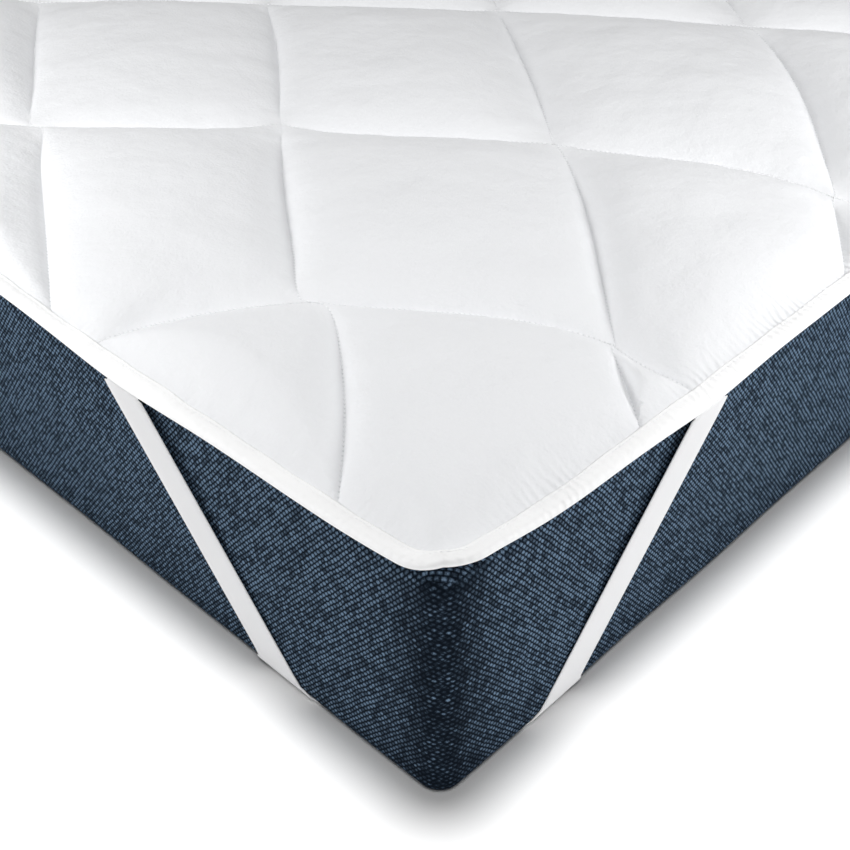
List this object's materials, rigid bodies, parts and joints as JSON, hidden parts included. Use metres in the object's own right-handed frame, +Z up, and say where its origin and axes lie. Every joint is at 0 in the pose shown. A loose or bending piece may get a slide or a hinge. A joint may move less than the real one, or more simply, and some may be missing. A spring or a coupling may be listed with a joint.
{
  "type": "quilted mattress topper on a mattress",
  "caption": "White quilted mattress topper with a bound edge, held by elastic corner straps over the corners of a plain navy woven mattress.",
  "frame": {"origin": "on the floor under the middle of the bed, the bottom centre of the bounding box", "axes": "+Z up; +Y along the bed, from the foot to the head; +X across it, so the corner at -X and -Y is the left foot corner"},
  "size_m": [1.4, 2, 0.2391],
  "materials": {
    "woven_cover": "coarse ribbed weave, matte",
    "quilted_cloth": "smooth brushed microfibre",
    "binding_tape": "soft folded tape",
    "elastic": "fine-ribbed elastic"
  },
  "bodies": {
    "root": {"mattress": "woven_cover", "topper_pad": "quilted_cloth", "edge_binding": "binding_tape", "corner_strap_foot_left": "elastic", "corner_strap_foot_right": "elastic", "corner_strap_head_left": "elastic", "corner_strap_head_right": "elastic"}
  },
  "joints": []
}
